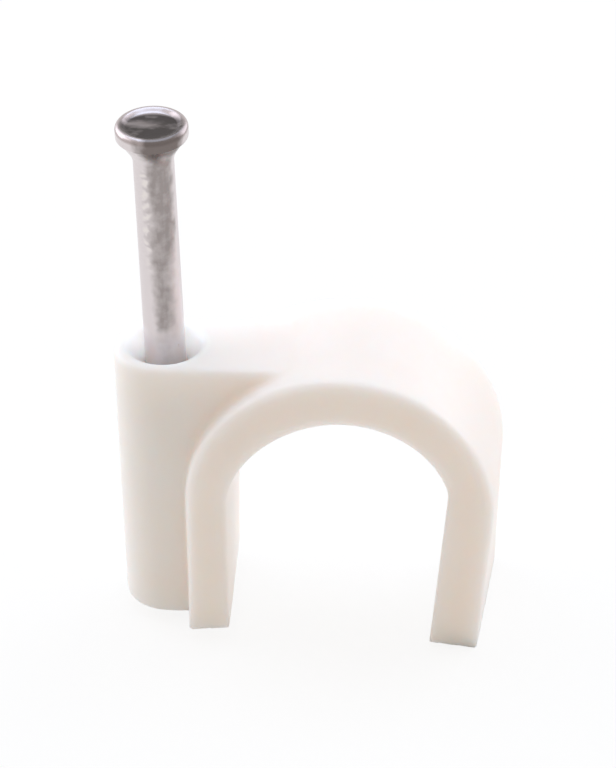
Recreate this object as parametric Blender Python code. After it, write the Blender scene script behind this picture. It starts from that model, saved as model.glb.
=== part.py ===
# Round cable clip with its fixing nail.
# One moulded plastic hook holds the cable against a wall. The boss beside the hook carries a steel nail,
# shown part way in, as such clips are sold.
# The frame: Z out of the wall, cable along Y, lowest point at z = 0, X and Y through the middle of the box.
# Outlines are drawn about the bore's centre line, at x = 0, and the root empty moves the whole to its place.

import math

import bmesh
import bpy
from mathutils import Vector

for startup_object in list(bpy.data.objects):
    bpy.data.objects.remove(startup_object, do_unlink=True)

MM = 0.001

# Cable channel
bore_radius = 5.36 * MM
bore_rise = 5.05 * MM
bore_near_fullness = 1.82
bore_centre_above_wall = 7.10 * MM
near_arm_inset = 5.65 * MM
crown_wall = 2.59 * MM
hook_depth = 7.85 * MM
hook_front_round = 0.60 * MM
hook_back_round = 0.15 * MM

# Arm beside the boss
near_arm_wall = 2.02 * MM
near_arm_back_lean = math.radians(1.6)
near_foot_rise = 0.20 * MM

# Free arm
free_arm_wall = 2.36 * MM
free_arm_side_wall = 2.10 * MM
free_arm_front_lean = math.radians(7.0)
free_arm_back_lean = math.radians(3.7)
free_foot_drop = 0.60 * MM

# Boss that carries the nail
boss_height = 14.35 * MM
boss_depth = 5.00 * MM
boss_corner_radius = 2.25 * MM
boss_end_past_nail = 2.31 * MM
boss_lean = math.radians(0.7)
boss_top_round = 0.40 * MM
boss_foot_round = 0.28 * MM
nail_from_bore_centre = 8.76 * MM

# Nail
nail_lean = math.radians(1.0)
nail_length = 25.0 * MM
nail_diameter = 2.0 * MM
head_diameter = 3.55 * MM
head_rim_height = 0.78 * MM
head_top_round = 0.26 * MM
head_under_round = 0.16 * MM
head_cone_height = 0.98 * MM
head_dish_depth = 0.14 * MM
head_dish_edge = 0.32 * MM
neck_reach = 0.30 * MM
point_length = 3.2 * MM
point_half_width = 0.12 * MM
nail_stands_out = 12.53 * MM

# Nail hole
hole_clearance = 0.08 * MM
seat_diameter = 3.52 * MM
seat_edge_chamfer = 0.14 * MM

# How far a cutting shape runs past what it cuts
cut_past = 2.0 * MM

# Facets
arc_steps = 56
round_steps = 48
edge_steps = 6
corner_steps = 12
point_steps = 10
neck_steps = 5
dish_steps = 3

# Faces that turn by more than this between them meet in a sharp edge
sharp_turn = math.radians(17)

# Worked out from the sizes above
outer_radius = bore_radius + free_arm_side_wall
near_arm_outside = near_arm_inset + near_arm_wall
nail_radius = nail_diameter / 2
head_radius = head_diameter / 2
hole_radius = nail_radius + hole_clearance
seat_radius = seat_diameter / 2
head_cone_width = head_radius - head_under_round - nail_radius
head_slope = head_cone_height / head_cone_width
wall_z = free_foot_drop
bore_z = wall_z + bore_centre_above_wall
outer_z = bore_z + bore_rise + crown_wall - outer_radius
boss_top_z = wall_z + boss_height
nail_x = -nail_from_bore_centre
boss_left_x = nail_x - boss_end_past_nail


def arc(centre, radius_x, radius_z, start, end, steps, fullness=2.0):
    """Points of an upright ellipse's arc from start to end. A fullness under 2 flattens its haunch."""
    points = []
    for step in range(steps + 1):
        angle = start + (end - start) * step / steps
        across = math.copysign(abs(math.cos(angle)) ** (2 / fullness), math.cos(angle))
        up = math.copysign(abs(math.sin(angle)) ** (2 / fullness), math.sin(angle))
        points.append(centre + Vector((radius_x * across, radius_z * up)))
    return points


def inset(outline, distance):
    """The closed outline, given anticlockwise, moved inwards along its normals."""
    moved = []
    for index, point in enumerate(outline):
        before = (point - outline[index - 1]).normalized()
        after = (outline[(index + 1) % len(outline)] - point).normalized()
        normal = Vector((-before.y - after.y, before.x + after.x)).normalized()
        lengthening = normal.dot(Vector((-before.y, before.x)))
        moved.append(point + normal * distance / lengthening)
    return moved


def rounded_levels(low, high, low_round, high_round):
    """Levels and insets that turn a straight prism's two end edges into quarter rounds."""
    turns = [math.pi / 2 * step / edge_steps for step in range(edge_steps + 1)]
    levels = []
    for turn in reversed(turns):
        levels.append((low + low_round * (1 - math.sin(turn)), low_round * (1 - math.cos(turn))))
    for turn in turns:
        levels.append((high - high_round * (1 - math.sin(turn)), high_round * (1 - math.cos(turn))))
    return levels


def mesh_of_rings(name, rings):
    """A closed mesh whose rings, all with the same number of points, are joined in order and capped."""
    shape = bmesh.new()
    loops = [[shape.verts.new(point) for point in ring] for ring in rings]
    for lower, upper in zip(loops, loops[1:]):
        for index in range(len(lower)):
            following = (index + 1) % len(lower)
            shape.faces.new((lower[index], lower[following], upper[following], upper[index]))
    shape.faces.new(list(reversed(loops[0])))
    shape.faces.new(loops[-1])
    bmesh.ops.recalc_face_normals(shape, faces=shape.faces)
    mesh = bpy.data.meshes.new(name)
    shape.to_mesh(mesh)
    shape.free()
    return mesh


def rings_along_y(outline_at, levels):
    """Rings in planes across Y, at levels of (y, inset), of the outline that each y has."""
    rings = []
    for y, distance in levels:
        rings.append([Vector((point.x, y, point.y)) for point in inset(outline_at(y, distance), distance)])
    return rings


def rings_along_z(outline_at, levels):
    """Rings in planes across Z, at levels of (z, inset), of the outline that each z has."""
    rings = []
    for z, distance in levels:
        rings.append([Vector((point.x, point.y, z)) for point in inset(outline_at(z), distance)])
    return rings


def circle_ring(radius, z):
    ring = []
    for step in range(round_steps):
        angle = math.tau * step / round_steps
        ring.append(Vector((radius * math.cos(angle), radius * math.sin(angle), z)))
    return ring


def make_material(name, colour, roughness, metallic):
    material = bpy.data.materials.new(name)
    material.use_nodes = True
    shader = material.node_tree.nodes["Principled BSDF"]
    shader.inputs["Base Color"].default_value = (*colour, 1.0)
    shader.inputs["Roughness"].default_value = roughness
    shader.inputs["Metallic"].default_value = metallic
    return material


def add_object(mesh, parent, location=(0.0, 0.0, 0.0), material=None):
    thing = bpy.data.objects.new(mesh.name, mesh)
    bpy.context.scene.collection.objects.link(thing)
    thing.parent = parent
    thing.location = location
    if material:
        mesh.materials.append(material)
    return thing


def add_helper(mesh, parent, location=(0.0, 0.0, 0.0)):
    helper = add_object(mesh, parent, location)
    helper.hide_render = True
    helper.display_type = "WIRE"
    return helper


def add_boolean(thing, name, operation, other):
    modifier = thing.modifiers.new(name, "BOOLEAN")
    modifier.operation = operation
    modifier.solver = "EXACT"
    modifier.object = other


def shade(mesh):
    mesh.shade_smooth()
    mesh.set_sharp_from_angle(angle=sharp_turn)


def hook_outline(y, coming_inset):
    """The hook seen along the cable, with feet that the coming inset cuts back to their true, sharp ends."""
    back_share = y / hook_depth + 0.5
    lean = free_arm_front_lean + (free_arm_back_lean - free_arm_front_lean) * back_share
    down_arm = Vector((-math.sin(lean), -math.cos(lean)))
    across_arm = Vector((math.cos(lean), -math.sin(lean)))
    outer_centre = Vector((0.0, outer_z))
    bore_centre = Vector((0.0, bore_z))

    # The free arm's outside leaves the outer circle as its tangent and runs down to the foot.
    tangent_point = outer_centre + across_arm * outer_radius
    outer_foot = tangent_point + down_arm * (tangent_point.y - (wall_z - free_foot_drop)) / -down_arm.y
    outer_foot += down_arm * coming_inset
    inner_foot = outer_foot - across_arm * free_arm_wall

    # Its inside meets the bore, an ellipse that becomes a circle once heights are stretched.
    stretch = bore_radius / bore_rise
    foot = Vector((inner_foot.x, (inner_foot.y - bore_z) * stretch))
    up_arm = Vector((-down_arm.x, -down_arm.y * stretch)).normalized()
    nearest = -foot.dot(up_arm)
    miss = (foot + up_arm * nearest).length
    half_chord = math.sqrt(bore_radius**2 - miss**2)
    meetings = [foot + up_arm * (nearest + way * half_chord) for way in (-1, 1)]
    meeting = min(meetings, key=lambda point: abs(point.y))
    meeting_angle = math.atan2(meeting.y, meeting.x)

    # The near arm's inside leans out a little towards the back, and its foot is cut to rise inwards.
    near_foot_z = wall_z - coming_inset / math.cos(math.atan2(near_foot_rise, near_arm_wall))
    inner_near_foot = Vector((-near_arm_inset, near_foot_z + near_foot_rise))
    inner_near_foot.x -= bore_centre_above_wall * math.tan(near_arm_back_lean) * back_share

    half = arc_steps // 2
    bore_far = arc(bore_centre, bore_radius, bore_rise, meeting_angle, math.pi / 2, half)
    bore_near = arc(bore_centre, near_arm_inset, bore_rise, math.pi / 2, math.pi, half, bore_near_fullness)
    outer_near = arc(outer_centre, near_arm_outside, outer_radius, math.pi, math.pi / 2, half)
    outer_far = arc(outer_centre, outer_radius, outer_radius, math.pi / 2, -lean, half)

    clockwise = [Vector((-near_arm_outside, near_foot_z))]
    clockwise += outer_near + outer_far[1:]
    clockwise += [outer_foot, inner_foot]
    clockwise += bore_far + bore_near[1:]
    clockwise += [inner_near_foot]
    return list(reversed(clockwise))


def hook_core_outline(_, __):
    """The channel and half of the wall round it: what the boss block must keep out of."""
    half_wall = near_arm_wall / 2
    core_x = near_arm_inset + half_wall
    core_rise = bore_rise + half_wall
    crown = arc(Vector((0.0, bore_z)), core_x, core_rise, math.pi / 2, math.pi, arc_steps // 2)
    left_x = -core_x
    low_z = wall_z - cut_past
    return crown + [Vector((left_x, low_z)), Vector((cut_past, low_z)), Vector((cut_past, crown[0].y))]


def boss_outline(z):
    """The boss from above: round at the nail's end, and square where it runs into the hook."""
    half = boss_depth / 2
    left_x = boss_left_x - (z - wall_z) * math.tan(boss_lean)
    corner_x = left_x + boss_corner_radius
    corner_y = half - boss_corner_radius
    outline = [Vector((0.0, -half)), Vector((0.0, half))]
    quarter = math.pi / 2
    for side, start in ((1, quarter), (-1, 2 * quarter)):
        corner = Vector((corner_x, side * corner_y))
        outline += arc(corner, boss_corner_radius, boss_corner_radius, start, start + quarter, corner_steps)
    return outline


def nail_hole_mesh():
    """A through hole, from z = 0 at the boss's top, that opens into a cone where the driven head seats."""
    seat_top = -seat_edge_chamfer
    seat_depth = (seat_radius - hole_radius) * head_slope
    rings = [
        circle_ring(hole_radius, -boss_height - cut_past),
        circle_ring(hole_radius, seat_top - seat_depth),
        circle_ring(seat_radius, seat_top),
        circle_ring(seat_radius + seat_edge_chamfer + cut_past, cut_past),
    ]
    return mesh_of_rings("nail_hole_cutter", rings)


def nail_mesh():
    """The nail from its point up, with its top at z = 0."""
    rings = []

    # Four flats meet at the point, so each ring is a circle cut by a square that grows with height.
    for step in range(point_steps + 1):
        share = step / point_steps
        half_width = point_half_width + (nail_radius - point_half_width) * share
        z = -nail_length + point_length * share
        ring = []
        for corner in circle_ring(1.0, z):
            radius = min(nail_radius, half_width / max(abs(corner.x), abs(corner.y)))
            ring.append(Vector((radius * corner.x, radius * corner.y, z)))
        rings.append(ring)

    # The shank curves out into the head's cone over an equal reach below and above the cone's foot.
    cone_top = -head_rim_height
    cone_foot = cone_top - head_cone_height
    for step in range(neck_steps + 1):
        share = step / neck_steps
        radius = nail_radius + neck_reach / head_slope * share**2
        rings.append(circle_ring(radius, cone_foot - neck_reach + 2 * neck_reach * share))

    # The rim is round below and above.
    turns = [math.pi / 2 * step / edge_steps for step in range(edge_steps + 1)]
    for turn in turns:
        radius = head_radius - head_under_round * (1 - math.sin(turn))
        rings.append(circle_ring(radius, cone_top + head_under_round * (1 - math.cos(turn))))
    for turn in turns:
        radius = head_radius - head_top_round * (1 - math.cos(turn))
        rings.append(circle_ring(radius, -head_top_round * (1 - math.sin(turn))))

    # Inside the rim the struck top falls in a soft step to a shallow dish.
    for step in range(1, dish_steps + 1):
        share = step / dish_steps
        radius = head_radius - head_top_round - head_dish_edge * share
        rings.append(circle_ring(radius, -head_dish_depth * (1 - math.cos(math.pi * share)) / 2))
    return mesh_of_rings("nail", rings)


def build():
    plastic = make_material("white_polyethylene", (0.84, 0.80, 0.75), 0.42, 0.0)
    zinc = make_material("zinc_plated_steel", (0.60, 0.60, 0.62), 0.34, 1.0)

    half_depth = hook_depth / 2
    hook_levels = rounded_levels(-half_depth, half_depth, hook_front_round, hook_back_round)
    boss_levels = rounded_levels(wall_z, boss_top_z, boss_foot_round, boss_top_round)
    hook_rings = rings_along_y(hook_outline, hook_levels)
    boss_rings = rings_along_z(boss_outline, boss_levels)
    box_right = max(point.x for ring in hook_rings for point in ring)
    box_left = min(point.x for ring in boss_rings for point in ring)

    root = bpy.data.objects.new("cable_clip", None)
    bpy.context.scene.collection.objects.link(root)
    root.location = (-(box_left + box_right) / 2, 0.0, 0.0)
    nail_axis = bpy.data.objects.new("nail_axis", None)
    bpy.context.scene.collection.objects.link(nail_axis)
    nail_axis.parent = root
    nail_axis.location = (nail_x, 0.0, boss_top_z)
    nail_axis.rotation_euler = (0.0, -nail_lean, 0.0)

    clip_body = add_object(mesh_of_rings("clip_body", hook_rings), root, material=plastic)
    boss = add_helper(mesh_of_rings("boss_block", boss_rings), root)
    core_reach = boss_depth / 2 + cut_past
    core_rings = rings_along_y(hook_core_outline, [(-core_reach, 0.0), (core_reach, 0.0)])
    core = add_helper(mesh_of_rings("hook_core", core_rings), root)
    add_boolean(boss, "keep clear of the channel", "DIFFERENCE", core)

    nail_hole = add_helper(nail_hole_mesh(), nail_axis)
    add_boolean(clip_body, "join the boss", "UNION", boss)
    add_boolean(clip_body, "nail hole", "DIFFERENCE", nail_hole)
    shade(clip_body.data)

    nail = add_object(nail_mesh(), nail_axis, (0.0, 0.0, nail_stands_out), zinc)
    shade(nail.data)


build()
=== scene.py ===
import math

import bmesh
import bpy
import numpy as np
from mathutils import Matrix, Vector


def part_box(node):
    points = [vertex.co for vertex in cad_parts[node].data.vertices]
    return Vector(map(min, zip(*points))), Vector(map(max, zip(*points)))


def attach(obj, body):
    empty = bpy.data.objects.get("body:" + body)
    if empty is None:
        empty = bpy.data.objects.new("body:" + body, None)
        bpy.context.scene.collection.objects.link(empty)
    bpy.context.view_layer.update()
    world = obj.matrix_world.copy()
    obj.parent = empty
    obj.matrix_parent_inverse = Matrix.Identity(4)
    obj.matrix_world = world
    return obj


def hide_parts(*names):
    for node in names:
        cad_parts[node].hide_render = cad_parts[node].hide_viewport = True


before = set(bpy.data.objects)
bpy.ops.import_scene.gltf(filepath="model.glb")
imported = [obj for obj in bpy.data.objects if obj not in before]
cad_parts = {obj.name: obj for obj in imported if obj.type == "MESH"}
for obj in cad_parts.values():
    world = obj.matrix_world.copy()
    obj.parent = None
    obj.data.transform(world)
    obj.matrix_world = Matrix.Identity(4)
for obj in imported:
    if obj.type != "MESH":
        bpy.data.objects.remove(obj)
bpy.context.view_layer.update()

# Looks of a round cable clip with its nail: finish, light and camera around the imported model.
# Sizes in the dictionaries are millimetres unless the name says otherwise.

mm = 0.001
clipLow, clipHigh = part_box("clip_body")


def toLinear(share):
    return share / 12.92 if share <= 0.04045 else ((share + 0.055) / 1.055) ** 2.4


def hexColour(code):
    # sRGB hex, as a colour picker gives it, to the linear values that shaders take
    return (*[toLinear(int(code[i:i + 2], 16) / 255) for i in (1, 3, 5)], 1.0)


def addNode(tree, kind, inputs=None, **settings):
    # one node with its settings; an input takes a value, or another node's output to link
    node = tree.nodes.new(kind)
    for name, value in settings.items():
        setattr(node, name, value)
    for name, value in (inputs or {}).items():
        if isinstance(value, bpy.types.NodeSocket):
            tree.links.new(value, node.inputs[name])
        else:
            node.inputs[name].default_value = value
    return node


def nodeRange(tree, value, low, high, toLow=0.0, toHigh=1.0, smooth=False):
    node = addNode(tree, "ShaderNodeMapRange", {
        "Value": value, "From Min": low, "From Max": high, "To Min": toLow, "To Max": toHigh,
    }, interpolation_type="SMOOTHSTEP" if smooth else "LINEAR")
    return node.outputs["Result"]


def nodeMath(tree, operation, first, second=0.0):
    return addNode(tree, "ShaderNodeMath", {0: first, 1: second}, operation=operation).outputs["Value"]


def nodeNoise(tree, place, size, detail, roughness=0.5):
    # noise with features of about this size in millimetres
    node = addNode(tree, "ShaderNodeTexNoise", {
        "Vector": place, "Scale": 1 / (size * mm), "Detail": detail, "Roughness": roughness,
    })
    return node.outputs["Fac"]


def nodeDistance(tree, place, middle, reach):
    # distance from a middle, 1 at the reach along each axis; a reach of 0 leaves that axis out
    node = addNode(tree, "ShaderNodeMapping", {
        "Vector": place,
        "Location": [-m / r if r else 0 for m, r in zip(middle, reach)],
        "Scale": [1 / (r * mm) if r else 0 for r in reach],
    })
    length = addNode(tree, "ShaderNodeVectorMath", {0: node.outputs["Vector"]}, operation="LENGTH")
    return length.outputs["Value"]


def nodeMix(tree, factor, first, second):
    node = addNode(tree, "ShaderNodeMix", {"Factor": factor, "A": first, "B": second}, data_type="RGBA")
    return node.outputs["Result"]


def newMaterial(name):
    material = bpy.data.materials.new(name)
    material.use_nodes = True
    material.node_tree.nodes.clear()
    return material, material.node_tree


def meshFromRings(name, rings):
    # rings with the same number of points, joined in order and capped at both ends
    shape = bmesh.new()
    loops = [[shape.verts.new(point) for point in ring] for ring in rings]
    count = len(loops[0])
    for lower, upper in zip(loops, loops[1:]):
        for i in range(count):
            j = (i + 1) % count
            shape.faces.new((lower[i], lower[j], upper[j], upper[i]))
    shape.faces.new(loops[0][::-1])
    shape.faces.new(loops[-1])
    bmesh.ops.recalc_face_normals(shape, faces=shape.faces)
    mesh = bpy.data.meshes.new(name)
    shape.to_mesh(mesh)
    shape.free()
    return mesh


def addObject(name, mesh):
    thing = bpy.data.objects.new(name, mesh)
    bpy.context.scene.collection.objects.link(thing)
    return thing


def arcPoints(centreX, centreZ, radiusX, radiusZ, start, end, steps, fullness=2):
    # an upright ellipse's arc; a fullness under 2 flattens its haunch
    points = []
    for turn in np.linspace(math.radians(start), math.radians(end), steps + 1):
        across = math.copysign(abs(math.cos(turn)) ** (2 / fullness), math.cos(turn))
        up = math.copysign(abs(math.sin(turn)) ** (2 / fullness), math.sin(turn))
        points.append(Vector((centreX + radiusX * across, centreZ + radiusZ * up)))
    return points


def insetOutline(outline, distance):
    # every point moves inwards along its corner's bisector; the outline runs anticlockwise
    moved = []
    for i, point in enumerate(outline):
        before = (point - outline[i - 1]).normalized()
        after = (outline[(i + 1) % len(outline)] - point).normalized()
        normal = Vector((-before.y - after.y, before.x + after.x)).normalized()
        moved.append(point + normal * distance / normal.dot(Vector((-before.y, before.x))))
    return moved


def quarterTurns(steps):
    return [math.pi / 2 * i / steps for i in range(steps + 1)]


def roundedLevels(low, high, lowRound, highRound):
    # (place, inset) pairs that turn a prism's end edges into quarter rounds
    turns = quarterTurns(clip["roundSteps"])
    levels = [(low + lowRound * (1 - math.sin(t)), lowRound * (1 - math.cos(t))) for t in reversed(turns)]
    return levels + [(high - highRound * (1 - math.sin(t)), highRound * (1 - math.cos(t))) for t in turns]


# Clip body

clip = {
    "boreRadius": 5.36,
    "boreRise": 5.05,              # bore centre to the channel's crown
    "boreNearFullness": 1.82,      # under 2 flattens the haunch on the boss's side
    "outerRadius": 7.46,
    "crownWall": 2.59,
    "nearArmInset": 5.65,          # bore centre to the near arm's inner face
    "nearArmWall": 2.02,
    "nearArmBackLean": 1.6,        # degrees that the inner face leans out at the back
    "nearFootRise": 0.20,          # how much the near foot's cut rises inwards
    "freeArmWall": 2.36,
    "freeArmFrontLean": 7.0,       # degrees
    "freeArmBackLean": 3.7,
    "freeFootDrop": 0.60,          # how much lower the free foot reaches than the wall plane
    "boreAboveWall": 7.10,
    "frontRound": 0.60,            # round on the hook's front rim
    "backRound": 0.15,
    "bossHeight": 14.35,
    "bossDepth": 5.00,
    "bossCornerRadius": 2.25,
    "bossEndPastNail": 2.31,
    "bossLean": 0.7,               # degrees that the boss's end leans away from the hook
    "bossTopRound": 0.40,
    "bossFootRound": 0.28,
    "nailFromBore": 8.76,
    "nailLean": 1.0,               # degrees, of the hole and the nail
    "holeRadius": 1.08,
    "seatRadius": 1.80,
    "seatDepth": 1.08,             # height of the seat's cone
    "seatChamfer": 0.14,
    "arcSteps": 36,                # on each quarter of the channel
    "bossRoundSteps": 16,
    "roundSteps": 6,
    "skinGrid": 0.12,              # mesh size of the moulded skin
    "edgeSoftening": 3,            # passes over the whole skin
    "cornerSoftening": 14,         # further passes in the inside corners
    "cornerReach": 0.5,            # how far from an inside corner they reach
    "footSharpTo": 0.5,            # height above the wall plane up to which the feet stay sharp
    "footSharpFade": 0.8,
    "footSoftening": 0.04,         # share of the softening that the feet get
    "footFlattening": 0.07,        # how near to an arm's end the points are laid flat
    "bossMargin": 0.15,            # what is kept clear of the boss there
    "fullPlastic": "#F8F2EC",
    "thinPlastic": "#F3EBE2",
    # painted pale: painted light against the shade in the nail's seat
    "seatPaintedPale": "#FFFBF2",
    "seatPaleTo": 1.9,             # distance from the middle of the nail's seat up to which it is pale
    "seatPaleEnd": 2.3,
    "cloudSize": 3.5,
    "glossSize": 0.8,
    "flowSize": 1.6,               # waves that the flowing plastic leaves
    "flowHeight": 0.08,
    "grainSize": 0.14,             # grain of the spark-eroded mould
    "grainHeight": 0.02,
    "bumpStrength": 0.25,
    "roughnessLow": 0.34,
    "roughnessHigh": 0.48,
    "scatterReach": 1.8,           # how far light wanders in the plastic
}
boreX = clipHigh.x - clip["outerRadius"] * mm
crownZ = clipHigh.z
outerZ = crownZ - clip["outerRadius"] * mm
boreZ = crownZ - (clip["crownWall"] + clip["boreRise"]) * mm
halfDepth = (clipHigh.y - clipLow.y) / 2
wallZ = clipLow.z + clip["freeFootDrop"] * mm
bossTopZ = wallZ + clip["bossHeight"] * mm
nailX = boreX - clip["nailFromBore"] * mm
nailLean = math.radians(clip["nailLean"])
overCut = 2 * mm                   # how far a cutter runs past what it cuts
boxMargin = 0.001 * mm             # how far the skin stays inside the CAD's box


def boreMeetingAngle(innerFoot, downArm):
    # where the free arm's inside meets the bore, with heights stretched so that the bore is a circle
    bore = clip["boreRadius"] * mm
    stretch = clip["boreRadius"] / clip["boreRise"]
    foot = Vector((innerFoot.x - boreX, (innerFoot.y - boreZ) * stretch))
    upArm = Vector((-downArm.x, -downArm.y * stretch)).normalized()
    nearest = -foot.dot(upArm)
    halfChord = math.sqrt(bore ** 2 - (foot + upArm * nearest).length_squared)
    meetings = [foot + upArm * (nearest + way * halfChord) for way in (-1, 1)]
    meeting = min(meetings, key=lambda point: abs(point.y))
    return math.degrees(math.atan2(meeting.y, meeting.x))


def hookOutline(y, comingInset):
    # the channel is a little wider at the back, so each end of the moulding has its own leans; the feet are
    # longer and wider by the inset that follows, so that their ends are sharp and the rounds die out there
    steps = clip["arcSteps"]
    backShare = y / halfDepth / 2 + 0.5
    lean = clip["freeArmFrontLean"] + (clip["freeArmBackLean"] - clip["freeArmFrontLean"]) * backShare
    bore, rise, outer = clip["boreRadius"] * mm, clip["boreRise"] * mm, clip["outerRadius"] * mm
    nearInside = clip["nearArmInset"] * mm
    nearOutside = nearInside + clip["nearArmWall"] * mm
    downArm = Vector((-math.sin(math.radians(lean)), -math.cos(math.radians(lean))))
    acrossArm = Vector((-downArm.y, downArm.x))
    armTop = Vector((boreX, outerZ)) + acrossArm * outer
    outerFoot = armTop + downArm * ((armTop.y - clipLow.z) / -downArm.y + comingInset)
    outerFoot += acrossArm * comingInset
    innerFoot = outerFoot - acrossArm * (clip["freeArmWall"] * mm + 2 * comingInset)
    inside = arcPoints(boreX, boreZ, bore, rise, boreMeetingAngle(innerFoot, downArm), 90, steps)
    inside += arcPoints(boreX, boreZ, nearInside, rise, 90, 180, steps, clip["boreNearFullness"])[1:]
    outside = arcPoints(boreX, outerZ, nearOutside, outer, 180, 90, steps)
    outside += arcPoints(boreX, outerZ, outer, outer, 90, -lean, steps)[1:]
    nearLean = math.tan(math.radians(clip["nearArmBackLean"])) * backShare
    nearFootZ = wallZ - comingInset / math.cos(math.atan2(clip["nearFootRise"], clip["nearArmWall"]))
    nearFoot = Vector((boreX - nearInside + comingInset, nearFootZ + clip["nearFootRise"] * mm))
    nearFoot.x -= clip["boreAboveWall"] * mm * nearLean
    clockwise = [Vector((boreX - nearOutside - comingInset, nearFootZ))] + outside
    clockwise += [outerFoot, innerFoot] + inside + [nearFoot]
    return clockwise[::-1]


def coreOutline(*_):
    # the channel and half its wall, which the boss block keeps out of, the same at every depth
    half = clip["nearArmWall"] / 2 * mm
    radiusX, radiusZ = clip["nearArmInset"] * mm + half, clip["boreRise"] * mm + half
    crown = arcPoints(boreX, boreZ, radiusX, radiusZ, 90, 180, clip["arcSteps"])
    low = wallZ - overCut
    right = boreX + overCut
    return crown + [Vector((boreX - radiusX, low)), Vector((right, low)), Vector((right, crown[0].y))]


def bossOutline(z):
    half, radius, steps = clip["bossDepth"] / 2 * mm, clip["bossCornerRadius"] * mm, clip["bossRoundSteps"]
    leftX = nailX - clip["bossEndPastNail"] * mm - (z - wallZ) * math.tan(math.radians(clip["bossLean"]))
    outline = [Vector((boreX, -half)), Vector((boreX, half))]
    outline += arcPoints(leftX + radius, half - radius, radius, radius, 90, 180, steps)
    outline += arcPoints(leftX + radius, radius - half, radius, radius, 180, 270, steps)
    return outline


def prismAlongY(name, outlineAt, levels):
    rings = [[Vector((p.x, y, p.y)) for p in insetOutline(outlineAt(y, inset), inset)] for y, inset in levels]
    return addObject(name, meshFromRings(name, rings))


def prismAlongZ(name, outlineAt, levels):
    rings = [[Vector((p.x, p.y, z)) for p in insetOutline(outlineAt(z), inset)] for z, inset in levels]
    return addObject(name, meshFromRings(name, rings))


def circleRing(radius, z, steps=96):
    turns = [math.tau * i / steps for i in range(steps)]
    return [Vector((radius * math.cos(t), radius * math.sin(t), z)) for t in turns]


def nailHoleCutter():
    hole, seat = clip["holeRadius"] * mm, clip["seatRadius"] * mm
    chamfer = clip["seatChamfer"] * mm
    rings = [
        circleRing(hole, -clip["bossHeight"] * mm - overCut),
        circleRing(hole, -chamfer - clip["seatDepth"] * mm),
        circleRing(seat, -chamfer),
        circleRing(seat + chamfer + overCut, overCut),
    ]
    cutter = addObject("nailHoleCutter", meshFromRings("nailHoleCutter", rings))
    cutter.location = (nailX, 0, bossTopZ)
    cutter.rotation_euler.y = -nailLean
    return cutter


def applyModifiers(thing):
    # the mesh that the modifiers give becomes the object's own
    bpy.context.view_layer.update()
    graph = bpy.context.evaluated_depsgraph_get()
    mesh = bpy.data.meshes.new_from_object(thing.evaluated_get(graph))
    thing.modifiers.clear()
    thing.data = mesh


def pointsOf(mesh):
    points = np.empty(len(mesh.vertices) * 3)
    mesh.vertices.foreach_get("co", points)
    return points.reshape(-1, 3)


def putPoints(mesh, points):
    mesh.vertices.foreach_set("co", points.ravel())
    mesh.update()


def smoothPoints(mesh, weights, passes):
    # each point moves half way to the middle of its neighbours, by its weight
    points = pointsOf(mesh)
    ends = np.empty(len(mesh.edges) * 2, np.int64)
    mesh.edges.foreach_get("vertices", ends)
    ends = ends.reshape(-1, 2)
    count = np.bincount(ends.ravel(), minlength=len(points))[:, None]
    for _ in range(passes):
        total = np.zeros_like(points)
        np.add.at(total, ends[:, 0], points[ends[:, 1]])
        np.add.at(total, ends[:, 1], points[ends[:, 0]])
        points += (total / count - points) * 0.5 * weights[:, None]
    putPoints(mesh, points)


def awayFromFeet(mesh):
    # hardly any softening at the feet, whose ends are cut sharp
    aboveSharp = pointsOf(mesh)[:, 2] - wallZ - clip["footSharpTo"] * mm
    return np.clip(aboveSharp / (clip["footSharpFade"] * mm), clip["footSoftening"], 1)


def insideCornerWeights(mesh):
    # 1 near the lines where the boss meets the hook, fading to 0 over the corner's reach
    far = 1                            # a metre, which puts a point out of reach
    x, y, z = pointsOf(mesh).T
    outer = clip["outerRadius"] * mm
    nearOutside = (clip["nearArmInset"] + clip["nearArmWall"]) * mm
    stretchedX = (x - boreX) * outer / nearOutside
    fromCentre = np.where(z > outerZ, np.hypot(stretchedX, z - outerZ), np.abs(stretchedX))
    fromSkin = np.abs(fromCentre - outer)
    pastSides = np.abs(y) - clip["bossDepth"] / 2 * mm
    pastTop = z - bossTopZ
    onSides = np.hypot(fromSkin, pastSides) + np.where(pastTop > 0, far, 0)
    onTop = np.hypot(fromSkin, pastTop) + np.where(pastSides > 0, far, 0)
    nearest = np.minimum(onSides, onTop) + np.where(x > boreX, far, 0)
    return np.clip(1 - nearest / (clip["cornerReach"] * mm), 0, 1)


def straightenFeet(mesh):
    # the points near an arm's end go onto its plane, where the skin's grid leaves small steps
    reach = clip["footFlattening"] * mm
    points = pointsOf(mesh)
    x, y, z = points.T
    backShare = y / halfDepth / 2 + 0.5
    lean = np.radians(clip["freeArmFrontLean"] * (1 - backShare) + clip["freeArmBackLean"] * backShare)
    sine, cosine = np.sin(lean), np.cos(lean)
    outer = clip["outerRadius"] * mm
    footZ = clipLow.z + boxMargin
    length = (outerZ - sine * outer - footZ) / cosine
    past = (boreX + cosine * outer - sine * length - x) * sine + (footZ - z) * cosine
    past[(x < boreX) | (np.abs(past) > reach)] = 0
    x += past * sine
    z += past * cosine
    nearOutsideX = boreX - (clip["nearArmInset"] + clip["nearArmWall"]) * mm
    backLean = math.tan(math.radians(clip["nearArmBackLean"])) * backShare
    slope = clip["nearFootRise"] / (clip["nearArmWall"] - clip["boreAboveWall"] * backLean)
    under = wallZ + (x - nearOutsideX) * slope - z
    onBoss = (np.abs(y) < (clip["bossDepth"] / 2 + clip["bossMargin"]) * mm) | (x < nearOutsideX - reach)
    under[onBoss | (x > boreX) | (np.abs(under) > reach)] = 0
    z += under
    np.clip(y, boxMargin - halfDepth, halfDepth - boxMargin, out=y)
    putPoints(mesh, points)


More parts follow.
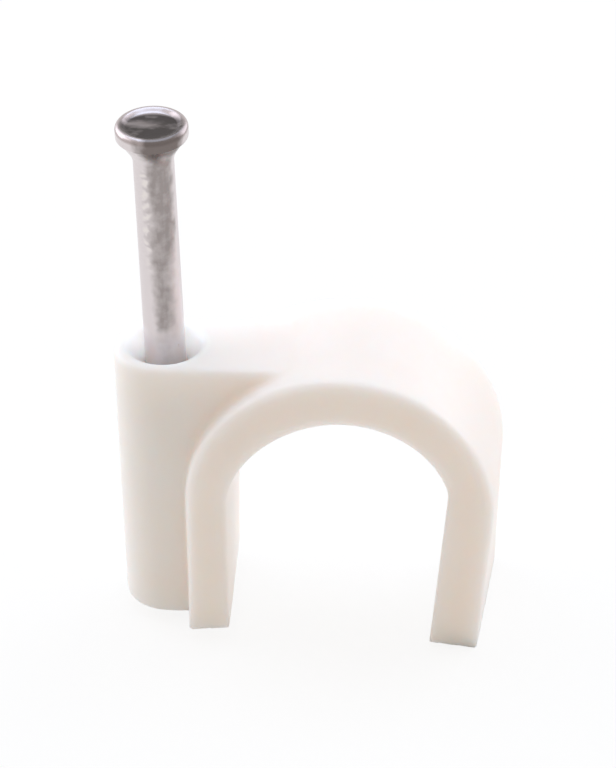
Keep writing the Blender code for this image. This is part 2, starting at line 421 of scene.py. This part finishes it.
def buildClip():
    depths = roundedLevels(-halfDepth, halfDepth, clip["frontRound"] * mm, clip["backRound"] * mm)
    body = prismAlongY("clipBody", hookOutline, depths)
    heights = roundedLevels(wallZ, bossTopZ, clip["bossFootRound"] * mm, clip["bossTopRound"] * mm)
    boss = prismAlongZ("bossBlock", bossOutline, heights)
    coreReach = clip["bossDepth"] / 2 * mm + overCut
    core = prismAlongY("hookCore", coreOutline, [(-coreReach, 0), (coreReach, 0)])
    hole = nailHoleCutter()
    operations = [(boss, "DIFFERENCE", core), (body, "UNION", boss), (body, "DIFFERENCE", hole)]
    for target, operation, other in operations:
        cut = target.modifiers.new(operation.lower(), "BOOLEAN")
        cut.operation, cut.solver, cut.object = operation, "EXACT", other
    skin = body.modifiers.new("moulded skin", "REMESH")
    skin.mode, skin.voxel_size, skin.use_smooth_shade = "VOXEL", clip["skinGrid"] * mm, True
    applyModifiers(body)
    for helper in (boss, core, hole):
        bpy.data.objects.remove(helper, do_unlink=True)
    mesh = body.data
    smoothPoints(mesh, awayFromFeet(mesh), clip["edgeSoftening"])
    smoothPoints(mesh, insideCornerWeights(mesh), clip["cornerSoftening"])
    straightenFeet(mesh)
    mesh.shade_smooth()
    return body


def mouldedPolyethylene():
    # Natural white polyethylene, injection moulded in a fine spark-eroded mould. It gives the eye a milky
    # warm white with soft satin highlights, a faint cloudiness in depth and an almost invisible grain. The
    # nail's seat is painted a paler white, painted light against the shade in its hollow.
    material, tree = newMaterial("mouldedPolyethylene")
    place = addNode(tree, "ShaderNodeTexCoord").outputs["Object"]
    cloud = nodeNoise(tree, place, clip["cloudSize"], 3.0)
    tint = nodeMix(tree, cloud, hexColour(clip["thinPlastic"]), hexColour(clip["fullPlastic"]))
    seatMiddle = (nailX / mm, 0, bossTopZ / mm)
    seatReach = (clip["seatPaleTo"],) * 3
    paleEnd = clip["seatPaleEnd"] / clip["seatPaleTo"]
    # the nail's seat is painted paler, painted light against the shade in its hollow
    seatPaintedPaleShare = nodeRange(tree, nodeDistance(tree, place, seatMiddle, seatReach), 1.0, paleEnd, 1.0, 0.0)
    tint = nodeMix(tree, seatPaintedPaleShare, tint, hexColour(clip["seatPaintedPale"]))
    gloss = nodeNoise(tree, place, clip["glossSize"], 4.0)
    roughness = nodeRange(tree, gloss, 0.0, 1.0, clip["roughnessLow"], clip["roughnessHigh"])
    flowBump = addNode(tree, "ShaderNodeBump", {
        "Height": nodeNoise(tree, place, clip["flowSize"], 1.0),
        "Strength": clip["bumpStrength"],
        "Distance": clip["flowHeight"] * mm,
    })
    grainBump = addNode(tree, "ShaderNodeBump", {
        "Height": nodeNoise(tree, place, clip["grainSize"], 2.0),
        "Normal": flowBump.outputs["Normal"],
        "Strength": clip["bumpStrength"],
        "Distance": clip["grainHeight"] * mm,
    })
    shader = addNode(tree, "ShaderNodeBsdfPrincipled", {
        "Base Color": tint,
        "Roughness": roughness,
        "Normal": grainBump.outputs["Normal"],
        "IOR": 1.51,
        "Subsurface Weight": 1.0,
        "Subsurface Radius": (1.0, 0.8, 0.7),
        "Subsurface Scale": clip["scatterReach"] * mm,
    })
    addNode(tree, "ShaderNodeOutputMaterial", {"Surface": shader.outputs["BSDF"]})
    return material


print("clip body")
clipBody = buildClip()
clipBody.data.materials.clear()
clipBody.data.materials.append(mouldedPolyethylene())
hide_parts("clip_body")
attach(clipBody, "clip")
print("clip body points:", len(clipBody.data.vertices))


# Nail

nail = {
    "length": 25.0,
    "standsOut": 12.52,            # along the nail, from the boss's top to the head's top
    "headRadius": 1.775,
    "shankRadius": 1.00,
    "rimHeight": 0.78,
    "rimTopRound": 0.26,
    "rimUnderRound": 0.16,
    "coneHeight": 0.98,
    "neckReach": 0.30,
    "dishDepth": 0.16,
    "dishEdge": 0.34,
    "pointLength": 3.2,
    "pointHalfWidth": 0.12,
    "gripDepth": 0.035,            # marks that the heading machine's jaws press into the shank
    "gripPitch": 0.62,
    "gripStart": 1.9,              # below the head's top
    "gripEnd": 8.2,
    "gripFadeIn": 0.3,
    "gripFadeOut": 1.5,
    "gripTurn": 232,               # degrees round the nail, seen from above
    "gripNarrowness": 10,
    "gripRing": 0.06,              # distance between the mesh's rings there
    "slopeSteps": 12,              # rings of the point, and of the dish's edge
    "roundSteps": 8,
    "sharpEdge": 35,               # degrees from which an edge looks sharp
    "brightZinc": "#DAD2D2",
    # painted glint colour
    "glintZinc": "#E3DCD8",
    # painted dark reflection down the nail's front
    "paintedReflectionZinc": "#9B9391",
    # the rim's top painted a little darker: painted shade on its reflection
    "paintedShadeRimTop": "#B2A6A4",
    # the painted dark reflection on the rim and on the rim's top
    "paintedReflectionRim": "#7A716E",
    "paintedReflectionRimTop": "#6D6461",
    # painted dark reflection in the head's top, paler in a patch behind its middle, with pale scratches
    "darkTop": "#433D3B",
    "paleTop": "#7A716F",
    "topScratch": "#938A88",
    "blotchSize": 0.45,
    "rippleSize": 0.7,
    "streakSize": 0.5,
    "streakStretch": 0.12,
    # heights, from the head's top, between which a look turns into the next
    "rim": (-1.4, -1.0),
    "rimTop": (-0.34, -0.20),
    "lowerHalf": (-7.8, -6.0),
    "stripEnd": (-11.4, -11.0),
    "glintEnd": (-8.2, -6.0),
    "glintStart": (-2.4, -1.9),
    "paintedTopReflectionFloor": (-0.26, -0.20),
    # the painted dark reflection down the nail's front, as turns from its middle in radians
    "paintedReflectionFrom": -0.50,
    "paintedReflectionFromFull": 0.10,
    "paintedReflectionFromFullRim": -0.05,
    "paintedReflectionToFull": 0.85,
    "paintedReflectionTo": 1.30,
    "paintedReflectionToFullLow": 0.20,         # where the strip ends on the lower half
    "paintedReflectionToLow": 1.02,
    "paintedReflectionWaver": 0.12,
    "paintedReflectionPastEnd": 0.35,           # share of the strip that stays below its end
    "mottleDarkest": 1.12,
    "mottlePalest": 0.70,
    "mottlePalestRim": 0.98,
    "glintTurn": -0.43,            # middle of the row of glints
    "glintReach": (0.04, 0.28),
    "glintWaver": 2.6,
    "glintClearing": 0.25,         # how much of the painted dark reflection a painted glint clears
    # the painted dark reflection in the head's top
    "paintedTopReflectionMiddle": (0.0312, -0.1612),
    "paintedTopReflectionReach": (1.56, 1.24),
    "paintedTopReflectionEdge": (0.88, 1.13),
    "palePatchMiddle": (-0.495, 0.189),
    "palePatchReach": (1.10, 0.42),
    "palePatchEdge": (0.1, 1.3),
    "palePatchWaver": 0.3,
    "scratchSize": 0.45,
    "scratchStretch": 0.5,
    "scratchEdge": (0.48, 0.88),
    "roughnessHigh": 0.42,
    "roughnessLow": 0.22,
    "drawnHeight": 0.02,           # of the marks that drawing and plating leave
    "drawnStrength": 0.35,
}
noiseLow, noiseHigh = 0.3, 0.7     # nearly all of a noise texture's values lie between these


def nailRadiusAt(angle, below):
    # the shank's radius, a little less where the jaws have pressed it from two sides
    inGrip = nail["gripStart"] < below < nail["gripEnd"]
    if not inGrip:
        return nail["shankRadius"] * mm
    facing = abs(math.cos(angle - math.radians(nail["gripTurn"]))) ** nail["gripNarrowness"]
    fadeIn = (below - nail["gripStart"]) / nail["gripFadeIn"]
    fadeOut = (nail["gripEnd"] - below) / nail["gripFadeOut"]
    wave = 0.5 - 0.5 * math.cos(math.tau * (below - nail["gripStart"]) / nail["gripPitch"])
    return (nail["shankRadius"] - nail["gripDepth"] * facing * min(1, fadeIn, fadeOut) * wave) * mm


def pointRings():
    # four flats grow out of the point into the round wire
    length, shank = nail["length"] * mm, nail["shankRadius"] * mm
    rings = []
    for i in range(nail["slopeSteps"] + 1):
        share = i / nail["slopeSteps"]
        half = nail["pointHalfWidth"] * mm * (1 - share) + shank * share
        ring = []
        for corner in circleRing(1, -length + nail["pointLength"] * mm * share):
            radius = min(shank, half / max(abs(corner.x), abs(corner.y)))
            ring.append(Vector((radius * corner.x, radius * corner.y, corner.z)))
        rings.append(ring)
    return rings


def gripRings(coneFoot):
    rings = []
    below = nail["gripEnd"] * mm
    while below > coneFoot + nail["neckReach"] * mm:
        ring = []
        for corner in circleRing(1, -below):
            radius = nailRadiusAt(math.atan2(corner.y, corner.x), below / mm)
            ring.append(Vector((radius * corner.x, radius * corner.y, -below)))
        rings.append(ring)
        below -= nail["gripRing"] * mm
    return rings


def headRings(coneFoot):
    # the hollow neck, the cone and the rim's two rounds
    headRadius, shank = nail["headRadius"] * mm, nail["shankRadius"] * mm
    rim, neck = nail["rimHeight"] * mm, nail["neckReach"] * mm
    under, top = nail["rimUnderRound"] * mm, nail["rimTopRound"] * mm
    slope = nail["coneHeight"] * mm / (headRadius - under - shank)
    rings = []
    for i in range(nail["roundSteps"] + 1):
        share = i / nail["roundSteps"]
        rings.append(circleRing(shank + neck / slope * share ** 2, -coneFoot - neck + 2 * neck * share))
    for t in quarterTurns(nail["roundSteps"]):
        rings.append(circleRing(headRadius - under * (1 - math.sin(t)), -rim + under * (1 - math.cos(t))))
    for t in quarterTurns(nail["roundSteps"]):
        rings.append(circleRing(headRadius - top * (1 - math.cos(t)), -top * (1 - math.sin(t))))
    return rings


def dishRings():
    # the struck top falls from the rim into a shallow dish
    inner = (nail["headRadius"] - nail["rimTopRound"]) * mm
    dish, edge = nail["dishDepth"] * mm, nail["dishEdge"] * mm
    rings = []
    for i in range(1, nail["slopeSteps"] + 1):
        share = i / nail["slopeSteps"]
        drop = dish * (0.5 - 0.5 * math.cos(math.pi * share))
        rings.append(circleRing(inner - edge * share, -drop))
    for share in (0.75, 0.5, 0.25, 0.1):
        rings.append(circleRing((inner - edge) * share, -dish))
    return rings


def buildNail():
    coneFoot = (nail["rimHeight"] + nail["coneHeight"]) * mm
    rings = pointRings() + gripRings(coneFoot) + headRings(coneFoot) + dishRings()
    piece = addObject("zincNail", meshFromRings("zincNail", rings))
    upNail = Vector((-math.sin(nailLean), 0, math.cos(nailLean)))
    piece.location = Vector((nailX, 0, bossTopZ)) + upNail * nail["standsOut"] * mm
    piece.rotation_euler.y = -nailLean
    piece.data.shade_smooth()
    piece.data.set_sharp_from_angle(angle=math.radians(nail["sharpEdge"]))
    return piece


def heightRange(tree, height, name, toLow=0.0, toHigh=1.0):
    low, high = nail[name]
    return nodeRange(tree, height, low * mm, high * mm, toLow, toHigh)


def paintedReflectionShare(tree, height, turn, mottle):
    # painted dark reflection in a strip down the nail's front, with mottled edges
    rim = heightRange(tree, height, "rim")
    fromFull = nodeRange(tree, rim, 0.0, 1.0, nail["paintedReflectionFromFull"], nail["paintedReflectionFromFullRim"])
    toFull = heightRange(tree, height, "lowerHalf", nail["paintedReflectionToFullLow"], nail["paintedReflectionToFull"])
    toEnd = heightRange(tree, height, "lowerHalf", nail["paintedReflectionToLow"], nail["paintedReflectionTo"])
    begun = nodeRange(tree, turn, nail["paintedReflectionFrom"], fromFull, smooth=True)
    ended = nodeRange(tree, turn, toFull, toEnd, 1.0, 0.0, smooth=True)
    aboveEnd = heightRange(tree, height, "stripEnd", nail["paintedReflectionPastEnd"], 1.0)
    palest = nodeRange(tree, rim, 0.0, 1.0, nail["mottlePalest"], nail["mottlePalestRim"])
    mottled = nodeRange(tree, mottle, 0.75, 1.25, nail["mottleDarkest"], palest)
    share = nodeMath(tree, "MULTIPLY", begun, ended)
    share = nodeMath(tree, "MULTIPLY", share, aboveEnd)
    return nodeMath(tree, "MULTIPLY", share, mottled)


def glintShare(tree, height, turn, ripples):
    # painted glints in a wavy row down the shank, at the pitch of the heading machine's jaw marks
    waver = nail["glintWaver"]
    uneven = nodeRange(tree, ripples, noiseLow, noiseHigh, -waver, waver)
    wave = nodeMath(tree, "MULTIPLY", height, math.tau / (nail["gripPitch"] * mm))
    wave = nodeMath(tree, "SINE", nodeMath(tree, "ADD", wave, uneven))
    aside = nodeMath(tree, "ABSOLUTE", nodeMath(tree, "SUBTRACT", turn, nail["glintTurn"]))
    near = nodeRange(tree, aside, *nail["glintReach"], 1.0, 0.0, smooth=True)
    share = nodeMath(tree, "MULTIPLY", wave, near)
    share = nodeMath(tree, "MULTIPLY", share, heightRange(tree, height, "glintEnd"))
    return nodeMath(tree, "MULTIPLY", share, heightRange(tree, height, "glintStart", 1.0, 0.0))


def paintedTopReflectionShare(tree, place, height):
    # painted dark reflection: an oval a little in front of the head's middle
    fromMiddle = nodeDistance(tree, place, (*nail["paintedTopReflectionMiddle"], 0), (*nail["paintedTopReflectionReach"], 0))
    inOval = nodeRange(tree, fromMiddle, *nail["paintedTopReflectionEdge"], 1.0, 0.0, smooth=True)
    return nodeMath(tree, "MULTIPLY", inOval, heightRange(tree, height, "paintedTopReflectionFloor"))


def paintedTopReflectionColour(tree, place):
    # painted dark reflection, paler behind the middle and scratched from side to side
    stretched = addNode(tree, "ShaderNodeMapping", {"Vector": place, "Scale": (nail["scratchStretch"], 1, 1)})
    scratches = nodeNoise(tree, stretched.outputs["Vector"], nail["scratchSize"], 4.0)
    waver = nail["palePatchWaver"]
    ragged = nodeRange(tree, scratches, noiseLow, noiseHigh, waver, -waver)
    fromPalePatch = nodeDistance(tree, place, (*nail["palePatchMiddle"], 0), (*nail["palePatchReach"], 0))
    fromPalePatch = nodeMath(tree, "ADD", fromPalePatch, ragged)
    palePatch = nodeRange(tree, fromPalePatch, *nail["palePatchEdge"], 1.0, 0.0, smooth=True)
    dark = nodeMix(tree, palePatch, hexColour(nail["darkTop"]), hexColour(nail["paleTop"]))
    marks = nodeRange(tree, scratches, *nail["scratchEdge"])
    return nodeMix(tree, marks, dark, hexColour(nail["topScratch"]))


def brightZincPlatedSteel():
    # Bright zinc plate on drawn steel wire: a pale silver with a mottled painted dark reflection down the
    # nail's front, painted glints, a painted dark reflection with pale scratches in the dished top of the
    # head, and painted shade on the rim's top.
    material, tree = newMaterial("brightZincPlatedSteel")
    place = addNode(tree, "ShaderNodeTexCoord").outputs["Object"]
    split = addNode(tree, "ShaderNodeSeparateXYZ", {"Vector": place}).outputs
    height = split["Z"]
    blotches = nodeNoise(tree, place, nail["blotchSize"], 3.0)
    ripples = nodeNoise(tree, place, nail["rippleSize"], 2.0)
    along = addNode(tree, "ShaderNodeMapping", {"Vector": place, "Scale": (1, 1, nail["streakStretch"])})
    streaks = nodeNoise(tree, along.outputs["Vector"], nail["streakSize"], 4.0, 0.6)
    mottle = nodeMath(tree, "ADD", blotches, streaks)
    # the turn round the nail, 0 at its front, with a ripple that makes the strip's edges uneven
    turn = nodeMath(tree, "ARCTAN2", split["X"], nodeMath(tree, "MULTIPLY", split["Y"], -1.0))
    waver = nail["paintedReflectionWaver"]
    turn = nodeMath(tree, "ADD", turn, nodeRange(tree, ripples, noiseLow, noiseHigh, -waver, waver))
    glint = glintShare(tree, height, turn, ripples)
    strip = paintedReflectionShare(tree, height, turn, mottle)
    strip = nodeMath(tree, "SUBTRACT", strip, nodeMath(tree, "MULTIPLY", glint, nail["glintClearing"]))
    rim, rimTop = heightRange(tree, height, "rim"), heightRange(tree, height, "rimTop")
    # painted shade: the rim's top a little darker than the rest of the bright plate
    bright = nodeMix(tree, rimTop, hexColour(nail["brightZinc"]), hexColour(nail["paintedShadeRimTop"]))
    bright = nodeMix(tree, glint, bright, hexColour(nail["glintZinc"]))
    # painted dark reflection, darker on the rim and on its top
    paintedReflection = nodeMix(tree, rim, hexColour(nail["paintedReflectionZinc"]), hexColour(nail["paintedReflectionRim"]))
    paintedReflection = nodeMix(tree, rimTop, paintedReflection, hexColour(nail["paintedReflectionRimTop"]))
    plate = nodeMix(tree, strip, bright, paintedReflection)
    # the painted dark reflection in the head's top goes over the plate
    colour = nodeMix(tree, paintedTopReflectionShare(tree, place, height), plate, paintedTopReflectionColour(tree, place))
    bump = addNode(tree, "ShaderNodeBump", {
        "Height": mottle, "Strength": nail["drawnStrength"], "Distance": nail["drawnHeight"] * mm,
    })
    shader = addNode(tree, "ShaderNodeBsdfPrincipled", {
        "Base Color": colour,
        "Roughness": nodeRange(tree, blotches, 0.0, 1.0, nail["roughnessHigh"], nail["roughnessLow"]),
        "Normal": bump.outputs["Normal"],
        "Metallic": 1.0,
    })
    addNode(tree, "ShaderNodeOutputMaterial", {"Surface": shader.outputs["BSDF"]})
    return material


print("nail")
zincNail = buildNail()
zincNail.data.materials.append(brightZincPlatedSteel())
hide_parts("nail")
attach(zincNail, "nail")


# Floor, lamps and world

studio = {
    "floorRadius": 400,
    "floorColour": "#FAF9F6",
    "floorGlow": 0.86,             # share of plain white in the floor that the camera and metal see
    "skyColour": "#FFEDDA",
    "skyStrength": 0.47,
    "topPower": 1.18,
    "topColour": "#C7E1FF",
    "leftPower": 1.24,
    "rightPower": 0.96,
    "sideColour": "#EAF0FF",
    "topFrom": (0, 0.25, 1),       # directions from the clip to the lamps
    "leftFrom": (-1, 0.45, 0.50),
    "rightFrom": (1, 0.75, 0.60),
    "lampSize": 420,
    "lampDistance": 450,
    "floorGap": 0.02,              # what keeps the floor clear of the feet
}


def buildFloor():
    ring = circleRing(studio["floorRadius"] * mm, 0)
    mesh = bpy.data.meshes.new("floor")
    mesh.from_pydata([tuple(p) for p in ring], [], [list(range(len(ring)))])
    floor = addObject("floor", mesh)
    floor.location.z = clipLow.z - studio["floorGap"] * mm
    mesh.materials.append(palePaperSweep())


def seenShare(tree):
    # 1 for what the camera sees, directly, in metal or through something clear
    rays = addNode(tree, "ShaderNodeLightPath").outputs
    cameraOrGlossy = nodeMath(tree, "MAXIMUM", rays["Is Camera Ray"], rays["Is Glossy Ray"])
    return nodeMath(tree, "MAXIMUM", cameraOrGlossy, rays["Is Transmission Ray"])


def palePaperSweep():
    # White paper: a plain white ground to the eye, on which the clip leaves a faint soft shadow.
    material, tree = newMaterial("palePaperSweep")
    share = nodeMath(tree, "MULTIPLY", seenShare(tree), studio["floorGlow"])
    paper = addNode(tree, "ShaderNodeBsdfDiffuse", {"Color": hexColour(studio["floorColour"])})
    white = addNode(tree, "ShaderNodeEmission", {"Strength": 1.0})
    mixed = addNode(tree, "ShaderNodeMixShader", {
        0: share, 1: paper.outputs["BSDF"], 2: white.outputs["Emission"],
    })
    addNode(tree, "ShaderNodeOutputMaterial", {"Surface": mixed.outputs["Shader"]})
    return material


def addSoftbox(name, direction, power, colour):
    # a square lamp that looks at the clip's middle from this direction
    lamp = bpy.data.lights.new(name, "AREA")
    lamp.size = studio["lampSize"] * mm
    lamp.energy = power
    lamp.color = hexColour(colour)[:3]
    thing = addObject(name, lamp)
    away = Vector(direction).normalized()
    thing.location = away * studio["lampDistance"] * mm
    thing.rotation_euler = away.to_track_quat("Z", "Y").to_euler()


def buildWorld():
    world = bpy.data.worlds.new("studioSky")
    bpy.context.scene.world = world
    world.use_nodes = True
    tree = world.node_tree
    tree.nodes.clear()
    sky = addNode(tree, "ShaderNodeBackground", {
        "Color": hexColour(studio["skyColour"]), "Strength": studio["skyStrength"],
    })
    backdrop = addNode(tree, "ShaderNodeBackground", {"Color": (1, 1, 1, 1), "Strength": 1.0})
    mixed = addNode(tree, "ShaderNodeMixShader", {
        0: seenShare(tree), 1: sky.outputs["Background"], 2: backdrop.outputs["Background"],
    })
    addNode(tree, "ShaderNodeOutputWorld", {"Surface": mixed.outputs["Shader"]})


print("studio")
buildFloor()
addSoftbox("topSoftbox", studio["topFrom"], studio["topPower"], studio["topColour"])
addSoftbox("leftSoftbox", studio["leftFrom"], studio["leftPower"], studio["sideColour"])
addSoftbox("rightSoftbox", studio["rightFrom"], studio["rightPower"], studio["sideColour"])
buildWorld()


# Camera

view = {
    "aimed": (-0.60, 0.0, 5.27),   # the point that the view was measured about, from the bore's centre line
    "aimedPixel": (336, 511),      # where that point shows in the photograph
    "imageWidth": 616,
    "imageHeight": 768,
    "azimuth": 5.5,                # degrees, to the right of the front
    "elevation": 34.5,             # degrees
    "roll": 1.5,                   # degrees, the clip turned anticlockwise
    "distance": 350,
    "pixelsPerMm": 20.25,
}


def buildCamera():
    azimuth, elevation, roll = (math.radians(view[k]) for k in ("azimuth", "elevation", "roll"))
    level = Vector((math.cos(azimuth), math.sin(azimuth), 0))
    ahead = Vector((-math.sin(azimuth), math.cos(azimuth), 0))
    looking = ahead * math.cos(elevation) - Vector((0, 0, math.sin(elevation)))
    right = level * math.cos(roll) - level.cross(looking) * math.sin(roll)
    up = right.cross(looking)
    focal = view["pixelsPerMm"] * view["distance"]
    offX = view["imageWidth"] / 2 - view["aimedPixel"][0]
    offY = view["imageHeight"] / 2 - view["aimedPixel"][1]
    forward = (looking * focal + right * offX - up * offY).normalized()
    side = (right - forward * right.dot(forward)).normalized()
    camera = bpy.data.cameras.new("camera")
    camera.sensor_width = 36
    camera.lens = camera.sensor_width * focal / view["imageHeight"]
    camera.clip_start, camera.clip_end = 0.01, 10
    thing = addObject("camera", camera)
    matrix = thing.matrix_world.to_3x3()
    matrix.col[0], matrix.col[1], matrix.col[2] = side, side.cross(forward), -forward
    thing.matrix_world = matrix.to_4x4()
    thing.location = Vector((boreX, 0, 0)) + (Vector(view["aimed"]) - looking * view["distance"]) * mm
    bpy.context.scene.camera = thing


print("camera")
buildCamera()
bpy.context.scene.view_settings.view_transform = "Standard"
